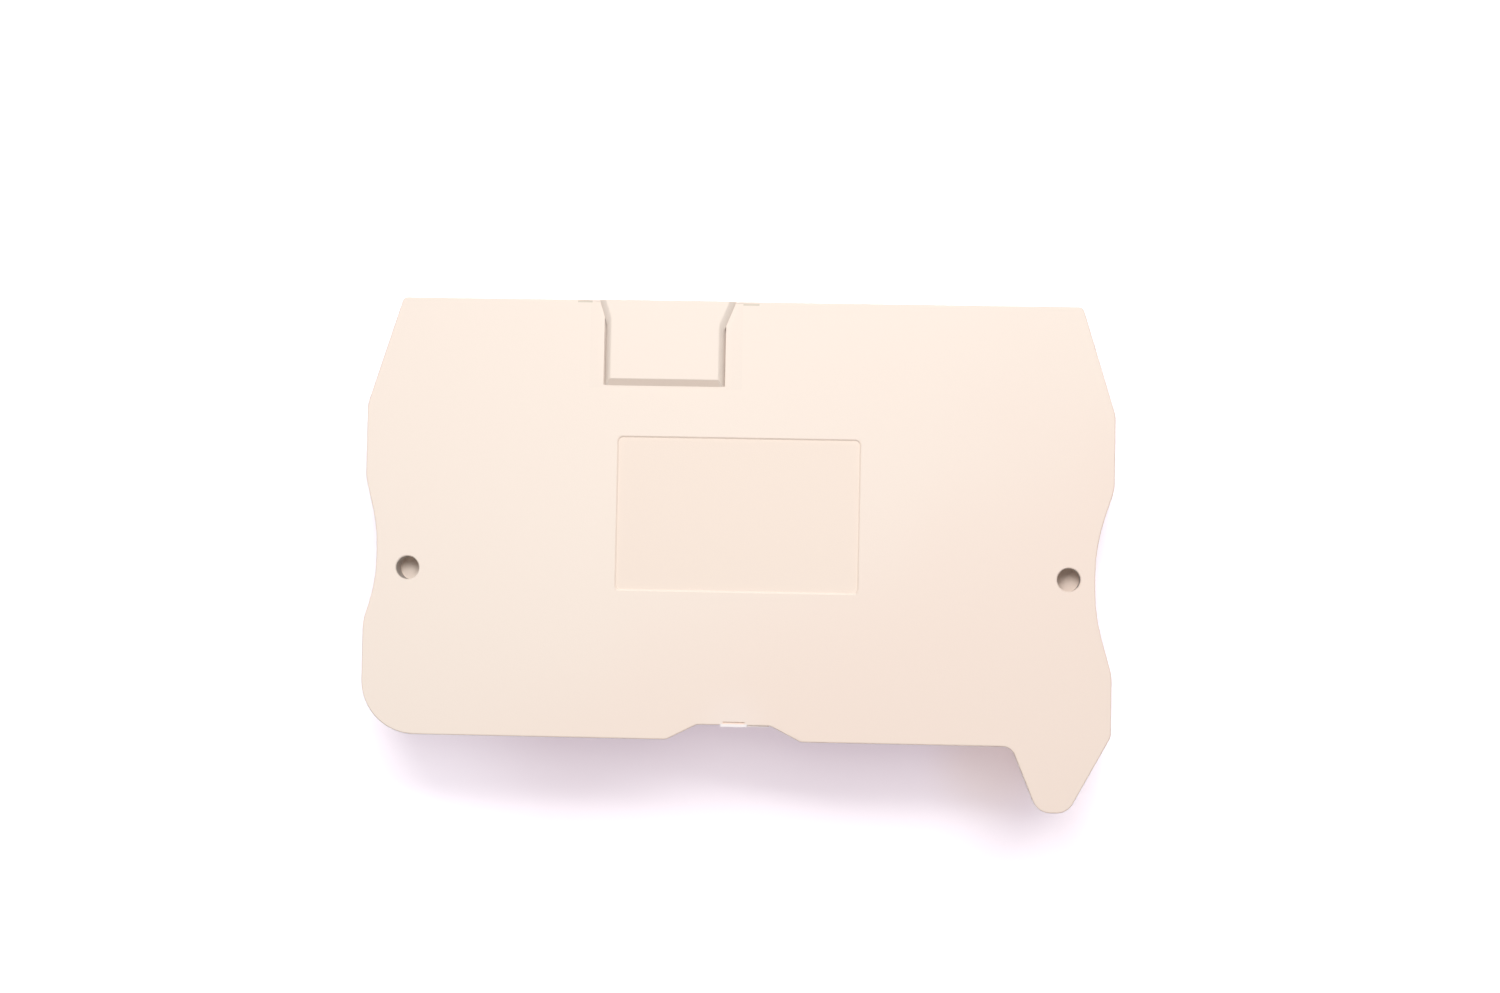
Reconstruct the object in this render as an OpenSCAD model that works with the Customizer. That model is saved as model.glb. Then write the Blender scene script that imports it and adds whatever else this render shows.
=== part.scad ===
// End cover of a rail terminal block: one moulding, front face up.
// Plan: the rail edge lies along X, and Y runs from it towards the top edge. Lengths are in millimetres.

/* [Plate] */
// Length of the cover, end to end
cover_len = 48.5; // [46:0.5:56]
// Height of the cover, rail edge to top edge
cover_h = 28.4; // [27.2:0.2:36]
// Thickness of the cover, back of the rim to front face
cover_t = 2.2; // [1.8:0.1:3.2]
// Thickness of the front wall
wall_t = 1.1; // [0.8:0.05:1.5]
// Width of the rim round the back
rim_w = 0.9; // [0.7:0.05:1.2]
// Radius of the front edge
front_r = 0.1; // [0.05:0.05:0.3]
// Chamfer on the edges of the rim
rim_chamfer = 0.12; // [0.05:0.01:0.2]
// Radius of the lower left corner
low_corner_r = 3.5; // [1.5:0.1:4]

/* [Shoulders] */
// Distance of each top corner from the end of the cover
shoulder_in = 2.2; // [1:0.1:4]
// Height of each sloping shoulder
shoulder_h = 7; // [4:0.1:9]
// Radius of the top corners
shoulder_top_r = 0.4; // [0.4:0.05:1]
// Radius where a shoulder meets the end
shoulder_low_r = 2; // [0.5:0.1:4]

/* [Left hollow] */
// Depth of the hollow in the left end
left_depth = 0.8; // [0.3:0.05:1.2]
// Lower end of the hollow above the rail edge
left_low = 7.3; // [6:0.1:8]
// Upper end of the hollow above the rail edge
left_high = 16.6; // [15:0.1:18]
// Height of the ramp at the lower end
left_low_ramp = 2.6; // [1.5:0.1:3]
// Height of the ramp at the upper end
left_high_ramp = 3.2; // [2:0.1:3.5]
// Radius in the hollow
left_r = 10; // [2:0.5:11]

/* [Right hollow] */
// Depth of the hollow in the right end
right_depth = 1.15; // [0.4:0.05:1.5]
// Lower end of the hollow above the rail edge
right_low = 4.7; // [3.5:0.1:6]
// Upper end of the hollow above the rail edge
right_high = 16.6; // [15:0.1:18]
// Height of the ramp at the lower end
right_low_ramp = 3.9; // [2:0.1:4.5]
// Height of the ramp at the upper end
right_high_ramp = 3.5; // [2:0.1:4]
// Radius in the hollow
right_r = 12; // [2:0.5:13]
// Radius where both hollows run out
hollow_end_r = 3; // [0.5:0.1:4]

/* [Foot] */
// Width of the mounting rail
rail_w = 35; // [32:0.5:36]
// Clearance between the foot and the rail
rail_clear = 0.4; // [0.1:0.05:0.8]
// Reach of the foot below the rail edge
foot_drop = 4.2; // [3:0.1:5.5]
// Outward lean of its inner side over that reach
foot_lean = 1.75; // [0.5:0.05:2.2]
// Width of its tip, before rounding
foot_tip_w = 1.9; // [1.7:0.05:2.4]
// Radius at the tip
foot_tip_r = 1.2; // [0.5:0.05:1.3]
// Fillet between the foot and the rail edge
foot_fillet_r = 0.85; // [0.3:0.05:1.5]
// Height above the rail edge where its outer side starts to slope
foot_slope_y = 0.75; // [0.3:0.05:1.5]
// Radius where the slope starts
foot_slope_r = 0.8; // [0.3:0.1:2]

/* [Notch and gate] */
// Width of the notch at the rail edge
notch_w = 8.7; // [7:0.1:12]
// Width of the notch's flat floor
notch_floor_w = 4.75; // [3:0.05:5.5]
// Depth of the notch
notch_d = 1; // [0.6:0.05:1.6]
// Radius at the corners of the notch
notch_r = 0.6; // [0.3:0.05:1.2]
// Width of the gate mark
gate_w = 1.7; // [0.8:0.05:2.4]
// Thickness of the gate mark
gate_t = 0.8; // [0.4:0.05:1.2]
// Reach of the gate mark out from the notch floor
gate_out = 0.1; // [0.05:0.05:0.4]
// Reach of the gate mark in from the notch floor
gate_in = 0.08; // [0.03:0.01:0.12]
// Depth of the gate mark below the front face
gate_down = 0; // [0:0.05:0.4]
// Width of the crease between the gate mark and the front face
crease_w = 0.15; // [0.1:0.01:0.25]
// Depth of that crease
crease_d = 0.18; // [0.16:0.01:0.19]
// Width of the thin tail that runs on from the gate mark
tail_w = 1.4; // [0.3:0.05:1.4]
// Reach of that tail out from the notch floor
tail_out = 0.07; // [0.03:0.01:0.14]

/* [Jumper pocket] */
// Width of the raised pocket at its base
pocket_w = 7.9; // [6:0.1:10]
// Length of the pocket down from the top edge
pocket_len = 5.55; // [4:0.05:7]
// Offset of the pocket from the middle of the cover
pocket_off = -4.93; // [-8:0.01:8]
// Rise of the pocket above the front face
pocket_rise = 0.35; // [0.2:0.05:0.7]
// Width of its side walls, seen from the front
pocket_run = 0.5; // [0.3:0.05:0.7]
// Width of its lower wall, seen from the front
pocket_low_run = 0.45; // [0.25:0.05:0.7]
// How round the side walls are, from a flat slope to a quarter round
pocket_round = 0.5; // [0:0.05:0.9]
// Depth of the fine groove out of which each side wall rises
groove_d = 0.28; // [0.26:0.01:0.29]
// Width of that groove's floor
groove_w = 0.03; // [0.02:0.01:0.1]
// Spread of the mouth on the left side
flare_left = 0.35; // [0.1:0.05:0.8]
// Height of the flare on the left side
flare_left_h = 1.15; // [0.6:0.05:2]
// Spread of the mouth on the right side
flare_right = 0.65; // [0.1:0.05:0.8]
// Height of the flare on the right side
flare_right_h = 1.6; // [0.8:0.05:2]
// Radius where a flare starts
flare_r = 0.8; // [0.2:0.1:2]
// Width of the side walls round the recess behind the pocket
pocket_wall = 1; // [0.7:0.05:1.4]
// Length of the lip on each side of the mouth
lip_len = 1.5; // [0.5:0.1:2.5]
// Width of a lip where it meets the flare
lip_w = 0.1; // [0.05:0.01:0.25]
// Rise of a lip above the front face
lip_rise = 0.03; // [0.02:0.01:0.15]

/* [Panel] */
// Width of the sunken panel
panel_w = 15.8; // [10:0.1:24]
// Height of the panel
panel_h = 10.05; // [6:0.05:12]
// Lower edge of the panel above the rail edge
panel_low = 9.55; // [7:0.05:10.5]
// Depth of the panel
panel_d = 0.1; // [0.05:0.01:0.25]
// Corner radius of the panel
panel_r = 0.4; // [0.3:0.05:1.5]

/* [Pegs] */
// Distance of each peg from the end of the cover
peg_in = 2.85; // [2.7:0.05:4]
// Height of the pegs above the rail edge
peg_y = 10.8; // [10:0.1:12.5]
// Diameter of a peg
peg_d = 2.4; // [2.2:0.05:2.8]
// Length of a peg beyond the rim
peg_len = 1.6; // [1:0.1:2.5]
// Lead-in chamfer on the peg's end
peg_chamfer = 0.3; // [0.1:0.05:0.5]
// Diameter of the boss that carries a peg
boss_d = 3.2; // [3:0.05:4]
// Diameter of the blind hole that cores a peg
core_d = 1.5; // [1:0.05:1.6]
// Depth of the blind hole below the front face
core_depth = 2.3; // [1:0.05:3]
// Chamfer at the mouth of the blind hole
core_chamfer = 0.06; // [0.02:0.01:0.15]

/* [Hidden] */
$fn = 64;
arc_step = 6;
edge_steps = 4;
wall_steps = 7;
groove_steps = 3;
least_r = 0.1;
least_straight = 0.02;
overcut = 0.5;
lip_back = 0.02;
end_x = cover_len / 2;
shoulder_y = cover_h - shoulder_h;
back_z = peg_len;
front_z = back_z + cover_t;
roof_z = front_z - wall_t;
foot_in_x = rail_w / 2 + rail_clear;
foot_tip_x = foot_in_x + foot_lean;
pocket_left = pocket_off - pocket_w / 2;
pocket_right = pocket_off + pocket_w / 2;
pocket_low = cover_h - pocket_len;
pocket_roof_z = roof_z + pocket_rise;
peg_x = end_x - peg_in;
core_floor_z = front_z - core_depth;
middle_y = (cover_h - foot_drop) / 2;

// Corners of outlines, anticlockwise, each [x, y, radius]; a radius of 0 keeps a corner sharp
notch_corners = [
    [-notch_w / 2, 0, notch_r],
    [-notch_floor_w / 2, notch_d, notch_r],
    [notch_floor_w / 2, notch_d, notch_r],
    [notch_w / 2, 0, notch_r]
];
foot_corners = [
    [foot_in_x, 0, foot_fillet_r],
    [foot_tip_x, -foot_drop, foot_tip_r],
    [foot_tip_x + foot_tip_w, -foot_drop, foot_tip_r],
    [end_x, foot_slope_y, foot_slope_r]
];
right_corners = [
    [end_x, right_low, hollow_end_r],
    [end_x - right_depth, right_low + right_low_ramp, right_r],
    [end_x - right_depth, right_high - right_high_ramp, right_r],
    [end_x, right_high, hollow_end_r],
    [end_x, shoulder_y, shoulder_low_r],
    [end_x - shoulder_in, cover_h, shoulder_top_r]
];
left_corners = [
    [shoulder_in - end_x, cover_h, shoulder_top_r],
    [-end_x, shoulder_y, shoulder_low_r],
    [-end_x, left_high, hollow_end_r],
    [left_depth - end_x, left_high - left_high_ramp, left_r],
    [left_depth - end_x, left_low + left_low_ramp, left_r],
    [-end_x, left_low, hollow_end_r],
    [-end_x, 0, low_corner_r]
];
cover_corners = fitted(concat(notch_corners, foot_corners, right_corners, left_corners));
// A point above the foot from which the whole outline can be seen
cover_heart = [foot_in_x, cover_h / 2];
// Base of the raised pocket, from its lower left corner; its fourth edge is the mouth at the top edge
pocket_corners = fitted([
    [pocket_left, pocket_low, 0],
    [pocket_right, pocket_low, 0],
    [pocket_right, cover_h - flare_right_h, flare_r],
    [pocket_right + flare_right, cover_h, 0],
    [pocket_left - flare_left, cover_h, 0],
    [pocket_left, cover_h - flare_left_h, flare_r]
]);
pocket_foot = 0;
pocket_mouth = 3;
panel_corners = fitted([
    [-panel_w / 2, panel_low, panel_r],
    [panel_w / 2, panel_low, panel_r],
    [panel_w / 2, panel_low + panel_h, panel_r],
    [-panel_w / 2, panel_low + panel_h, panel_r]
]);

// Straight sides of the pocket, next to its foot
function is_side(i) = abs(i - pocket_mouth) == 2;
function unit(v) = v / norm(v);
function flat(corner) = [corner.x, corner.y];
function same_inset(corners, d) = [for (c = corners) d];

// Length that the rounding of corner i takes from each edge beside it
function taken(corners, i) =
    let (
        n = len(corners),
        here = flat(corners[i]),
        u = unit(here - flat(corners[(i + n - 1) % n])),
        v = unit(flat(corners[(i + 1) % n]) - here)
    )
    corners[i][2] * tan(acos(u * v) / 2);

// The same corners, with a radius cut back where the edges beside it have no room for it
function fitted(corners) =
    let (
        n = len(corners),
        used = [for (i = [0 : n - 1]) taken(corners, i)],
        room = [
            for (i = [0 : n - 1])
            let (j = (i + 1) % n, free = norm(flat(corners[j]) - flat(corners[i])) - least_straight)
            min(1, free / (used[i] + used[j]))
        ]
    )
    [
        for (i = [0 : n - 1])
        let (here = corners[i])
        [here.x, here.y, here[2] * min(room[i], room[(i + n - 1) % n])]
    ];

// Arc of radius r that turns from heading u to heading v round the corner p
function corner_arc(p, u, v, r) =
    let (
        side = sign(cross(u, v)),
        turn = acos(u * v),
        steps = ceil(turn / arc_step),
        inward = side * [-u.y, u.x],
        centre = p - u * r * tan(turn / 2) + inward * r
    )
    [for (k = [0 : steps]) centre + r * (u * sin(turn * k / steps) - inward * cos(turn * k / steps))];

// Points of an outline whose edges have each moved inwards, edge i running from corner i to the next
function outline(corners, inset) =
    let (n = len(corners))
    [for (i = [0 : n - 1])
        let (
            here = corners[i],
            u = unit(flat(here) - flat(corners[(i + n - 1) % n])),
            v = unit(flat(corners[(i + 1) % n]) - flat(here)),
            d_in = inset[(i + n - 1) % n],
            d_out = inset[i],
            p = flat(here) + (d_in * v - d_out * u) / cross(u, v),
            r = max(here[2] - sign(cross(u, v)) * min(d_in, d_out), least_r)
        )
        each here[2] > 0 ? corner_arc(p, u, v, r) : [p]
    ];

function ring(corners, inset, z) = [for (p = outline(corners, inset)) [p.x, p.y, z]];

// How far a rounded edge of radius r has drawn in, at a height that is "below" under its top
function drawn_in(below, r) = below >= r ? 0 : r - sqrt(r * r - (r - below) * (r - below));

// Closed solid through rings of equal length, first facing down and last up, with fans round heart as its ends
module loft(rings, heart) {
    n = len(rings[0]);
    last = len(rings) - 1;
    low_heart = len(rings) * n;
    high_heart = low_heart + 1;
    points = [for (one = rings) each one];
    hearts = [for (one = [rings[0], rings[last]]) [heart.x, heart.y, one[0].z]];
    low_end = [for (i = [0 : n - 1]) [low_heart, i, (i + 1) % n]];
    high_end = [for (i = [0 : n - 1]) [high_heart, last * n + (i + 1) % n, last * n + i]];
    walls = [
        for (k = [0 : last - 1], i = [0 : n - 1])
        let (a = k * n + i, b = k * n + (i + 1) % n)
        each [[a, a + n, b + n], [a, b + n, b]]
    ];
    polyhedron(concat(points, hearts), concat(low_end, walls, high_end));
}

// Front wall and rim in one skin: from the roof down inside the rim, round its back and up the outside
module shell() {
    function level(inset, z) = ring(cover_corners, same_inset(cover_corners, inset), z);
    loft(concat(
        [
            level(rim_w, roof_z),
            level(rim_w, back_z + rim_chamfer),
            level(rim_w - rim_chamfer, back_z),
            level(rim_chamfer, back_z),
            level(0, back_z + rim_chamfer)
        ],
        [
            for (k = [0 : edge_steps])
            let (a = 90 * k / edge_steps)
            level(front_r * (1 - cos(a)), front_z - front_r * (1 - sin(a)))
        ]
    ), cover_heart);
}

// Raised pocket on the front: walls on three sides, flush with the top edge at its mouth
module pocket_bulge() {
    // Inset of a wall that starts at a depth "below" the front face, at a height "rise" above the face
    function wall(from, below, rise) =
        let (up = max(0, rise + below) / (pocket_rise + below))
        from + (pocket_run - from) * (pocket_round * (1 - sqrt(1 - up * up)) + (1 - pocket_round) * up);
    function edges(rise) = [
        for (i = [0 : len(pocket_corners) - 1])
        i == pocket_mouth ? drawn_in(pocket_rise - rise, front_r)
            : i == pocket_foot ? pocket_low_run * max(0, rise) / pocket_rise
            : is_side(i) ? wall(groove_w, groove_d, rise) : wall(0, 0, rise)
    ];
    levels = concat(
        [for (k = [0 : groove_steps - 1]) -groove_d * (1 - k / groove_steps)],
        [for (k = [0 : wall_steps]) pocket_rise * sin(90 * k / wall_steps)]
    );
    loft(concat(
        [ring(pocket_corners, edges(-groove_d), roof_z + overcut)],
        [for (rise = levels) ring(pocket_corners, edges(rise), front_z + rise)]
    ), [pocket_off, cover_h - pocket_len / 2]);
}

// Cut for the fine grooves along the pocket's straight sides; the bulge fills the rest of it
module pocket_grooves() {
    edges = [
        for (i = [0 : len(pocket_corners) - 1])
        is_side(i) ? 0 : groove_w
    ];
    translate([0, 0, front_z - groove_d])
        linear_extrude(groove_d + overcut)
            polygon(outline(pocket_corners, edges));
}

// Recess behind the pocket, open through the rim at the top edge
module pocket_recess() {
    edges = [
        for (i = [0 : len(pocket_corners) - 1])
        i == pocket_mouth ? -overcut : pocket_wall
    ];
    translate([0, 0, back_z - overcut])
        linear_extrude(pocket_roof_z - back_z + overcut)
            polygon(outline(pocket_corners, edges));
}

// Thin lips that run out along the top edge on both sides of the mouth
module mouth_lips() {
    right_x = pocket_right + flare_right;
    left_x = pocket_left - flare_left;
    high_y = cover_h - lip_back;
    low_y = high_y - lip_w;
    translate([0, 0, front_z - front_r])
        linear_extrude(front_r + lip_rise) {
            polygon([[right_x - lip_w, low_y], [right_x + lip_len, high_y], [right_x - lip_w, high_y]]);
            polygon([[left_x + lip_w, low_y], [left_x + lip_w, high_y], [left_x - lip_len, high_y]]);
        }
}

// Shallow sunken panel with sloping walls
module panel() {
    loft([
        ring(panel_corners, same_inset(panel_corners, panel_d), front_z - panel_d),
        ring(panel_corners, same_inset(panel_corners, 0), front_z),
        ring(panel_corners, same_inset(panel_corners, 0), front_z + overcut)
    ], [0, panel_low + panel_h / 2]);
}

// Stub on the notch floor where the moulding was broken from its gate, with a thin tail on its right
module gate_mark() {
    bite = crease_w / 2;
    translate([-gate_w / 2, notch_d - gate_out, front_z - gate_down - gate_t])
        cube([gate_w, gate_out + gate_in + bite, gate_t]);
    translate([0, notch_d - tail_out, front_z - crease_d - gate_t / 2])
        cube([gate_w / 2 + tail_w, tail_out + bite, gate_t / 2]);
}

// Crease between that stub and the front face, short of the stub's ends
module gate_crease() {
    translate([crease_w - gate_w / 2, notch_d + gate_in, front_z - crease_d])
        cube([gate_w - 2 * crease_w, crease_w, crease_d + overcut]);
}

// Peg on its boss
module peg() {
    translate([0, 0, back_z])
        cylinder(h = roof_z - back_z + overcut, d = boss_d);
    translate([0, 0, peg_chamfer])
        cylinder(h = roof_z - peg_chamfer, d = peg_d);
    cylinder(h = peg_chamfer, d1 = peg_d - 2 * peg_chamfer, d2 = peg_d);
}

// Blind hole that cores a peg from the front
module core_hole() {
    translate([0, 0, core_floor_z])
        cylinder(h = core_depth + overcut, d = core_d);
    translate([0, 0, front_z - core_chamfer])
        cylinder(h = 2 * core_chamfer, d1 = core_d, d2 = core_d + 4 * core_chamfer);
}

module at_pegs() {
    for (side = [-1, 1])
        translate([side * peg_x, peg_y, 0])
            children();
}

module end_cover() {
    color([0.95, 0.89, 0.83])
        translate([0, -middle_y, 0])
            difference() {
                union() {
                    difference() {
                        union() {
                            shell();
                            gate_mark();
                        }
                        pocket_grooves();
                        gate_crease();
                    }
                    pocket_bulge();
                    mouth_lips();
                    at_pegs() peg();
                }
                pocket_recess();
                panel();
                at_pegs() core_hole();
            }
}

end_cover();
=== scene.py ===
import bmesh
import bpy
import math
from mathutils import Euler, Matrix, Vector


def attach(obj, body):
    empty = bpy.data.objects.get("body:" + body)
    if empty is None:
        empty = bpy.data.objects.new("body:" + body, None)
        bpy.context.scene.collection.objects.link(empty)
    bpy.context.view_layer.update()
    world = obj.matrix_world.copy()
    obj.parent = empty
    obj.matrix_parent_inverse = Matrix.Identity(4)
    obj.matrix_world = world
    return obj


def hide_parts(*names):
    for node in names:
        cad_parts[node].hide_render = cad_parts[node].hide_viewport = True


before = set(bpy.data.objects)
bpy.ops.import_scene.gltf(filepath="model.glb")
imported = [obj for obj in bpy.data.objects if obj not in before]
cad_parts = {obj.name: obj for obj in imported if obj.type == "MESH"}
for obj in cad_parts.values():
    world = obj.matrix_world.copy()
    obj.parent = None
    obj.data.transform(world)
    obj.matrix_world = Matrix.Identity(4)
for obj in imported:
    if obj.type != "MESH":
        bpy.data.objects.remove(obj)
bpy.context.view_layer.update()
mm = 0.001
print("frame loaded:", sorted(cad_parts))


class Wire:  # one socket of a node tree, with arithmetic
    def __init__(self, tree, socket=None):
        self.tree = tree
        self.socket = socket

    def make(self, kind, settings=None, inputs=None, out=0):
        node = self.tree.nodes.new(kind)
        for name, value in (settings or {}).items():
            setattr(node, name, value)
        for name, value in (inputs or {}).items():
            if isinstance(value, Wire):
                self.tree.links.new(value.socket, node.inputs[name])
            else:
                node.inputs[name].default_value = value
        return Wire(self.tree, node.outputs[out]) if node.outputs else node

    def maths(self, operation, *values):
        return self.make("ShaderNodeMath", {"operation": operation}, dict(enumerate(values)))

    def __add__(self, other):
        return self.maths("ADD", self, other)

    def __sub__(self, other):
        return self.maths("SUBTRACT", self, other)

    def __rsub__(self, other):
        return self.maths("SUBTRACT", other, self)

    def __mul__(self, other):
        return self.maths("MULTIPLY", self, other)

    def __abs__(self):
        return self.maths("ABSOLUTE", self)

    __radd__ = __add__
    __rmul__ = __mul__

    def axis(self, name):  # X, Y or Z of a place
        return self.make("ShaderNodeSeparateXYZ", {}, {"Vector": self}, out=name)

    def distance(self, point):
        settings = {"operation": "DISTANCE"}
        return self.make("ShaderNodeVectorMath", settings, {0: self, 1: point}, out="Value")

    def fade(self, start, end):  # 0 at start, 1 at end, smooth between
        settings = {"interpolation_type": "SMOOTHSTEP"}
        inputs = {"Value": self, "From Min": start, "From Max": end}
        return self.make("ShaderNodeMapRange", settings, inputs)

    def within(self, low, high, soft):  # 1 between low and high, 0 outside
        return self.fade(low - soft, low + soft) * self.fade(high + soft, high - soft)

    def blend(self, low, high):  # colour that goes from low to high with this mask
        inputs = {"Factor": self, 6: low, 7: high}  # its colour sockets are 6, 7 and out 2
        return self.make("ShaderNodeMix", {"data_type": "RGBA"}, inputs, out=2)


def newTree(name):
    material = bpy.data.materials.new(name)
    material.use_nodes = True
    material.node_tree.nodes.clear()
    return material, Wire(material.node_tree)


def finishTree(tree, shader):
    tree.make("ShaderNodeOutputMaterial", {}, {"Surface": shader})


def seenDirectly(tree):  # 1 for what the camera sees, also in a reflection or through glass
    kinds = ("Is Camera Ray", "Is Glossy Ray", "Is Transmission Ray")
    camera, glossy, through = [tree.make("ShaderNodeLightPath", out=kind) for kind in kinds]
    return tree.maths("MAXIMUM", tree.maths("MAXIMUM", camera, glossy), through)


def linear(r, g, b):  # screen colour, 0 to 255, as light
    def one(v):  # a screen's usual curve
        v = v / 255
        return v / 12.92 if v <= 0.04045 else ((v + 0.055) / 1.055) ** 2.4
    return (one(r), one(g), one(b), 1)


# lengths in mm; a box is left, low, right, high in the plan and the softness of its edge
# a cloud is its size and its levels of detail
plastic = {
    "tone": linear(251, 235.5, 222.5),
    "footwardShadeTone": linear(249.5, 230, 216.5),  # painted shade: the face darkens slowly and unevenly towards the foot
    "driftCloud": (16, 2),
    "driftBlur": 20,
    "driftSlant": 0.6,  # share of x against y
    "driftReach": (-10, 18),  # from the middle, towards the foot
    "faceHeights": (3.45, 4.3),  # front face with all that is on it
    "heightSoft": 0.02,
    "panelTone": linear(249, 231, 216.5),
    "panelBox": (-7.9, -2.55, 7.9, 7.5, 0.08),
    "rimHighlightTone": linear(255, 242, 229),  # painted highlight along the panel's lower edge, whose wall faces the light
    "rimBox": (-7.75, -2.56, 7.75, -2.44, 0.02),
    "breakTone": linear(255, 247, 246),  # stress-whitened where the gate broke off
    "gateBox": (-0.9, -11.4, 0.9, -11.02, 0.01),
    "tailBox": (0.9, -11.4, 2.3, -11.13, 0.01),
    "gateHeights": (2.98, 3.9),
    "blush": 0.15,  # haze round the gate
    "blushPlace": (0, -11.02),
    "blushReach": (3.2, 0),
    "holeShadeTone": linear(208, 199, 192),  # painted shade on the walls of the blind holes
    "corePlace": (21.4, -1.3),  # and its mirror image
    "coreReach": (0.85, 0.80),
    "coreHeights": (1.55, 3.7),
    "pocketBox": (-9.8, 10.6, 0.1, 16.25, 0.02),
    "wallShadeTone": linear(239, 225, 213),  # painted shade on the pocket's sloping walls, darker than the face
    "wallHeights": (3.81, 4.13),
    # painted shade on the pocket's lower wall, which faces away from the light
    "lowWallShadeTone": linear(240, 222, 208),
    "lowWallBox": (-8.55, 10.6, -1.35, 11.2, 0.15),  # between the mitred corners
    "grooveShadeTone": linear(233, 222, 213),  # painted shade in the grooves beside the pocket
    "creaseHeights": (3.45, 3.77),
    "lipShadeTone": linear(222, 210, 194),  # painted shade: a dark line under each lip
    "lipBoxes": [(-10.65, 16.12, -9.7, 16.24, 0.03), (0.1, 16.06, 1.15, 16.18, 0.03)],
    "grainCloud": (0.09, 3),  # eroded mould surface
    "grainDepth": 0.004,
    "waveCloud": (5, 1),  # faint sink of the wall
    "waveDepth": 0.006,
    "roughness": 0.52,
    "roughnessSpread": 0.10,
    "gloss": 0.4,
}


def makePlastic():
    material, tree = newTree("coverPlastic")
    place = tree.make("ShaderNodeTexCoord", out="Object")
    inMm = tree.make("ShaderNodeVectorMath", {"operation": "SCALE"}, {0: place, "Scale": 1 / mm})
    x, y, z = inMm.axis("X"), inMm.axis("Y"), inMm.axis("Z")

    def cloud(name):
        size, detail = plastic[name]
        inputs = {"Vector": inMm, "Scale": 1 / size, "Detail": detail}
        return tree.make("ShaderNodeTexNoise", {}, inputs)

    def inside(box):  # 1 within a box of the plan
        left, low, right, high, soft = box
        return x.within(left, right, soft) * y.within(low, high, soft)

    def between(name):  # 1 between two heights
        return z.within(*plastic[name], plastic["heightSoft"])

    def near(name, reachName, across):  # 1 round a place of the plan
        here = tree.make("ShaderNodeCombineXYZ", {}, {"X": across, "Y": y})
        return here.distance((*plastic[name], 0)).fade(*plastic[reachName])

    patches = (cloud("driftCloud") - 0.5) * plastic["driftBlur"]  # a cloud lies round 0.5
    towardsFoot = plastic["driftSlant"] * x - y + patches
    face = between("faceHeights")
    gate = inside(plastic["gateBox"]) + inside(plastic["tailBox"])
    pocket = inside(plastic["pocketBox"])
    wall = pocket * between("wallHeights")
    layers = [  # each over the ones before it
        # painted shade, darker towards the foot
        ("footwardShadeTone", towardsFoot.fade(*plastic["driftReach"])),
        ("panelTone", inside(plastic["panelBox"]) * face),
        ("breakTone", near("blushPlace", "blushReach", x) * face * plastic["blush"]),
        ("breakTone", gate * between("gateHeights")),
        # painted shade on the holes' walls, the pocket's walls and grooves and under the lips,
        # and a painted highlight on the panel's lower edge
        ("holeShadeTone", near("corePlace", "coreReach", abs(x)) * between("coreHeights")),
        ("wallShadeTone", wall),
        ("lowWallShadeTone", inside(plastic["lowWallBox"]) * wall),
        ("grooveShadeTone", pocket * between("creaseHeights")),
        ("lipShadeTone", sum(inside(box) for box in plastic["lipBoxes"]) * face),
        ("rimHighlightTone", inside(plastic["rimBox"]) * face),
    ]
    colour = plastic["tone"]
    for name, mask in layers:
        colour = mask.blend(colour, plastic[name])

    grain = cloud("grainCloud")
    wave = cloud("waveCloud")
    spread = plastic["roughnessSpread"]
    height = grain * plastic["grainDepth"] + wave * plastic["waveDepth"]
    bump = {"Height": height, "Distance": mm, "Strength": 1}
    shader = tree.make("ShaderNodeBsdfPrincipled", {}, {
        "Base Color": colour,
        "Roughness": grain * spread + (plastic["roughness"] - spread / 2),
        "Specular IOR Level": plastic["gloss"],
        "Normal": tree.make("ShaderNodeBump", {}, bump),
    })
    finishTree(tree, shader)
    return material


cover = {
    "weld": 0.001 * mm,  # points closer than this become one
    "flatAngle": 0.4,  # degrees, faces that lie flatter than this become one
    "sharpAngle": 32,  # degrees, edges from here on stay crisp
}


def makeCover(material):
    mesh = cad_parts["end_cover"].data.copy()
    shape = bmesh.new()
    shape.from_mesh(mesh)
    bmesh.ops.remove_doubles(shape, verts=shape.verts, dist=cover["weld"])
    flat = math.radians(cover["flatAngle"])
    bmesh.ops.dissolve_limit(shape, angle_limit=flat, verts=shape.verts, edges=shape.edges)
    loose = [e for e in shape.edges if len(e.link_faces) != 2]
    print("cover mesh:", len(shape.faces), "faces,", len(loose), "open edges")
    for face in shape.faces:
        face.smooth = True
    for edge in shape.edges:
        edge.smooth = edge.calc_face_angle(0) < math.radians(cover["sharpAngle"])
    shape.to_mesh(mesh)
    shape.free()
    mesh.materials.clear()
    mesh.materials.append(material)
    piece = bpy.data.objects.new("cover", mesh)
    bpy.context.scene.collection.objects.link(piece)
    settle = piece.modifiers.new("flatFaces", "WEIGHTED_NORMAL")  # so that they shade flat
    settle.keep_sharp = True
    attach(piece, "root")
    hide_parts("end_cover")
    return piece


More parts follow.
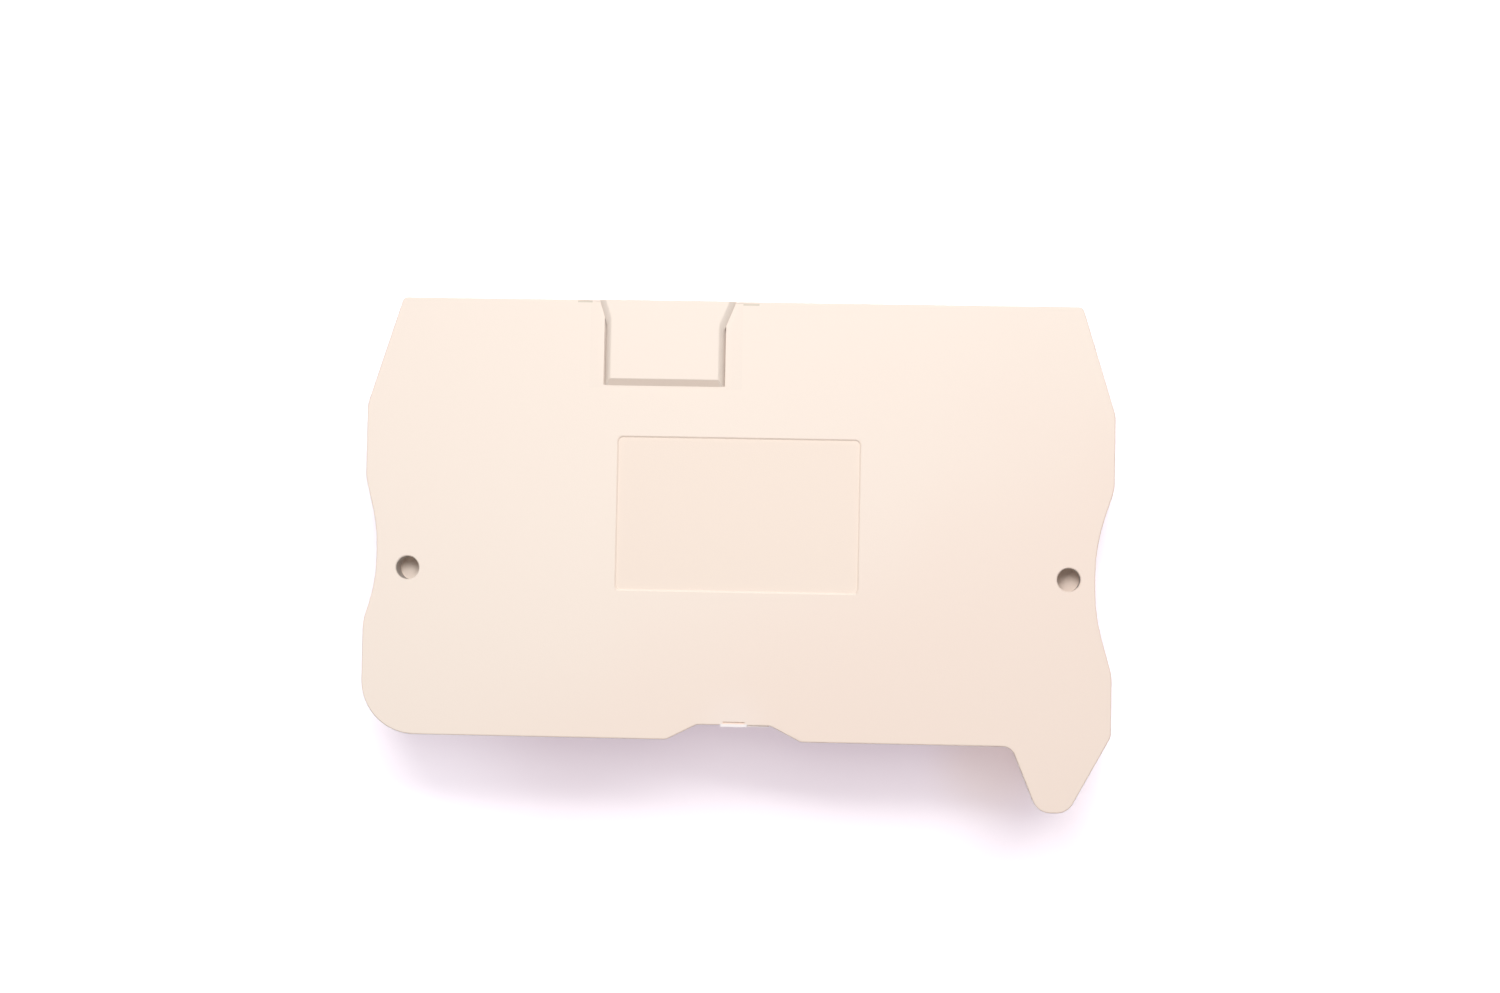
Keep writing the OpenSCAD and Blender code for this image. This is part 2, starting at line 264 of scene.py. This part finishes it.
# lengths in m
paper = {
    "size": 1.2,
    "down": 0.01 * mm,  # just under what it carries
    "tipHeight": 0.01 * mm,  # what is lower is the tip of a peg
    "pastTips": 1 * mm,  # from here on the top rim may touch it too
    "colour": (0.88, 0.87, 0.88, 1),
    "bounce": (0.5, 0.49, 0.5, 1),  # as the cover meets it, so that its sides stay plain
    "glow": (0.262, 0.182, 0.238, 1),  # lifts it to white outside the shadow
    "leftGlow": (0.370, 0.300, 0.366, 1),  # and more so towards the left
    "leftReach": (-0.0105, -0.0210),
    "footGlow": (0.224, 0.128, 0.142, 1),  # but less and warmer in the corner at the foot
    "footPlace": (0.0166, -0.0134, -0.0012),
    "footReach": (0.0050, 0.0010),
    "farGlow": (0.85, 0.85, 0.85, 1),
    "farReach": (0.05, 0.16),  # from the middle
}


def makeFloor():
    material, tree = newTree("whitePaper")
    seen = seenDirectly(tree)
    place = tree.make("ShaderNodeTexCoord", out="Object")
    places = {
        "left": place.axis("X"),
        "foot": place.distance(paper["footPlace"]),
        "far": place.distance((0, 0, 0)),
    }
    glow = paper["glow"]
    for name, along in places.items():
        glow = along.fade(*paper[name + "Reach"]).blend(glow, paper[name + "Glow"])
    shader = tree.make("ShaderNodeBsdfPrincipled", {}, {
        "Base Color": seen.blend(paper["bounce"], paper["colour"]),
        "Roughness": 1,
        "Specular IOR Level": 0,
        "Emission Color": seen.blend((0, 0, 0, 1), glow),
        "Emission Strength": 1,
    })
    finishTree(tree, shader)

    # the cover rests on its pegs and its top rim, so the floor leans to meet both
    points = [v.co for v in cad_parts["end_cover"].data.vertices]
    tip = max(p.y for p in points if p.z < paper["tipHeight"])  # far side of the peg tips
    lean = min(p.z / (p.y - tip) for p in points if p.y > tip + paper["pastTips"])
    print("floor leans", round(math.degrees(math.atan(lean)), 2), "degrees")
    half = paper["size"] / 2
    plan = [(-half, -half), (half, -half), (half, half), (-half, half)]
    corners = [(x, y, lean * (y - tip) - paper["down"]) for x, y in plan]
    mesh = bpy.data.meshes.new("floor")
    mesh.from_pydata(corners, [], [(0, 1, 2, 3)])
    mesh.materials.append(material)
    floor = bpy.data.objects.new("floor", mesh)
    bpy.context.scene.collection.objects.link(floor)
    return floor


# a lamp is its share of the light, degrees above the front face, degrees left of straight
# behind, m away, m wide and m deep; those named cover light the cover, the others the paper
studio = {
    "skyLevel": 0.32,  # share of a white surface's light that comes from all round
    "skyColour": (1, 1, 1, 1),
    "lamps": {
        "coverLamp": (0.225, 61.5, 0, 0.22, 0.13, 0.115),
        "coverTop": (0.39, 75.5, 0, 0.23, 0.07, 0.05),
        "paperLamp": (1.00, 38.5, -9, 0.29, 0.50, 0.19),
        "paperTop": (0.20, 65, -12, 0.29, 0.40, 0.21),
        "paperFill": (0.16, 65, 180, 0.29, 0.20, 0.10),
    },
}


def makeLights(piece, floor):
    world = bpy.data.worlds.new("studio")
    bpy.context.scene.world = world
    world.use_nodes = True
    world.node_tree.nodes.clear()
    tree = Wire(world.node_tree)
    shine = seenDirectly(tree) * (1 - studio["skyLevel"]) + studio["skyLevel"]
    sky = tree.make("ShaderNodeBackground", {}, {"Color": studio["skyColour"], "Strength": shine})
    tree.make("ShaderNodeOutputWorld", {}, {"Surface": sky})

    groups = {}  # each has its own lamps, as with flags between them
    for lit in (piece, floor):
        groups[lit] = bpy.data.collections.new(lit.name + "Light")
        groups[lit].objects.link(lit)
    for name, values in studio["lamps"].items():
        share, riseDegrees, turnDegrees, away, wide, deep = values
        rise, turn = math.radians(riseDegrees), math.radians(turnDegrees)
        level = math.cos(rise)
        ahead = Vector((-math.sin(turn) * level, math.cos(turn) * level, math.sin(rise)))
        light = bpy.data.lights.new(name, "AREA")
        light.shape = "RECTANGLE"
        light.size = wide
        light.size_y = deep
        spread = 1 + wide * deep / (math.pi * away ** 2)  # a wide lamp gives less per watt
        light.energy = share * math.pi ** 2 * away ** 2 / math.sin(rise) * spread
        lamp = bpy.data.objects.new(name, light)
        lamp.location = ahead * away
        lamp.rotation_euler = (math.pi / 2 - rise, 0, math.pi + turn)
        bpy.context.scene.collection.objects.link(lamp)
        group = groups[piece if name.startswith("cover") else floor]
        lamp.light_linking.receiver_collection = group


view = {
    "aim": (0.776 * mm, 3.696 * mm, 3.8 * mm),  # spot on the front face in mid-picture
    "away": 219.8 * mm,
    "tiltX": 2.15,  # degrees, seen a little from the rail edge
    "tiltY": 2.82,  # degrees, and from the foot's end
    "roll": 1.13,  # degrees
    "lens": 81.6,  # mm
    "sensor": 36,  # mm wide
    "nearest": 0.01,  # m
}


def makeCamera():
    data = bpy.data.cameras.new("camera")
    data.sensor_width = view["sensor"]
    data.lens = view["lens"]
    data.clip_start = view["nearest"]
    camera = bpy.data.objects.new("camera", data)
    turn = Euler([math.radians(view[name]) for name in ("tiltX", "tiltY", "roll")])
    camera.rotation_euler = turn
    camera.location = Vector(view["aim"]) + turn.to_matrix() @ Vector((0, 0, view["away"]))
    bpy.context.scene.collection.objects.link(camera)
    bpy.context.scene.camera = camera


bpy.context.scene.view_settings.view_transform = "Standard"
makeCamera()
print("camera ready")
piece = makeCover(makePlastic())
print("cover ready")
makeLights(piece, makeFloor())
print("stage ready")
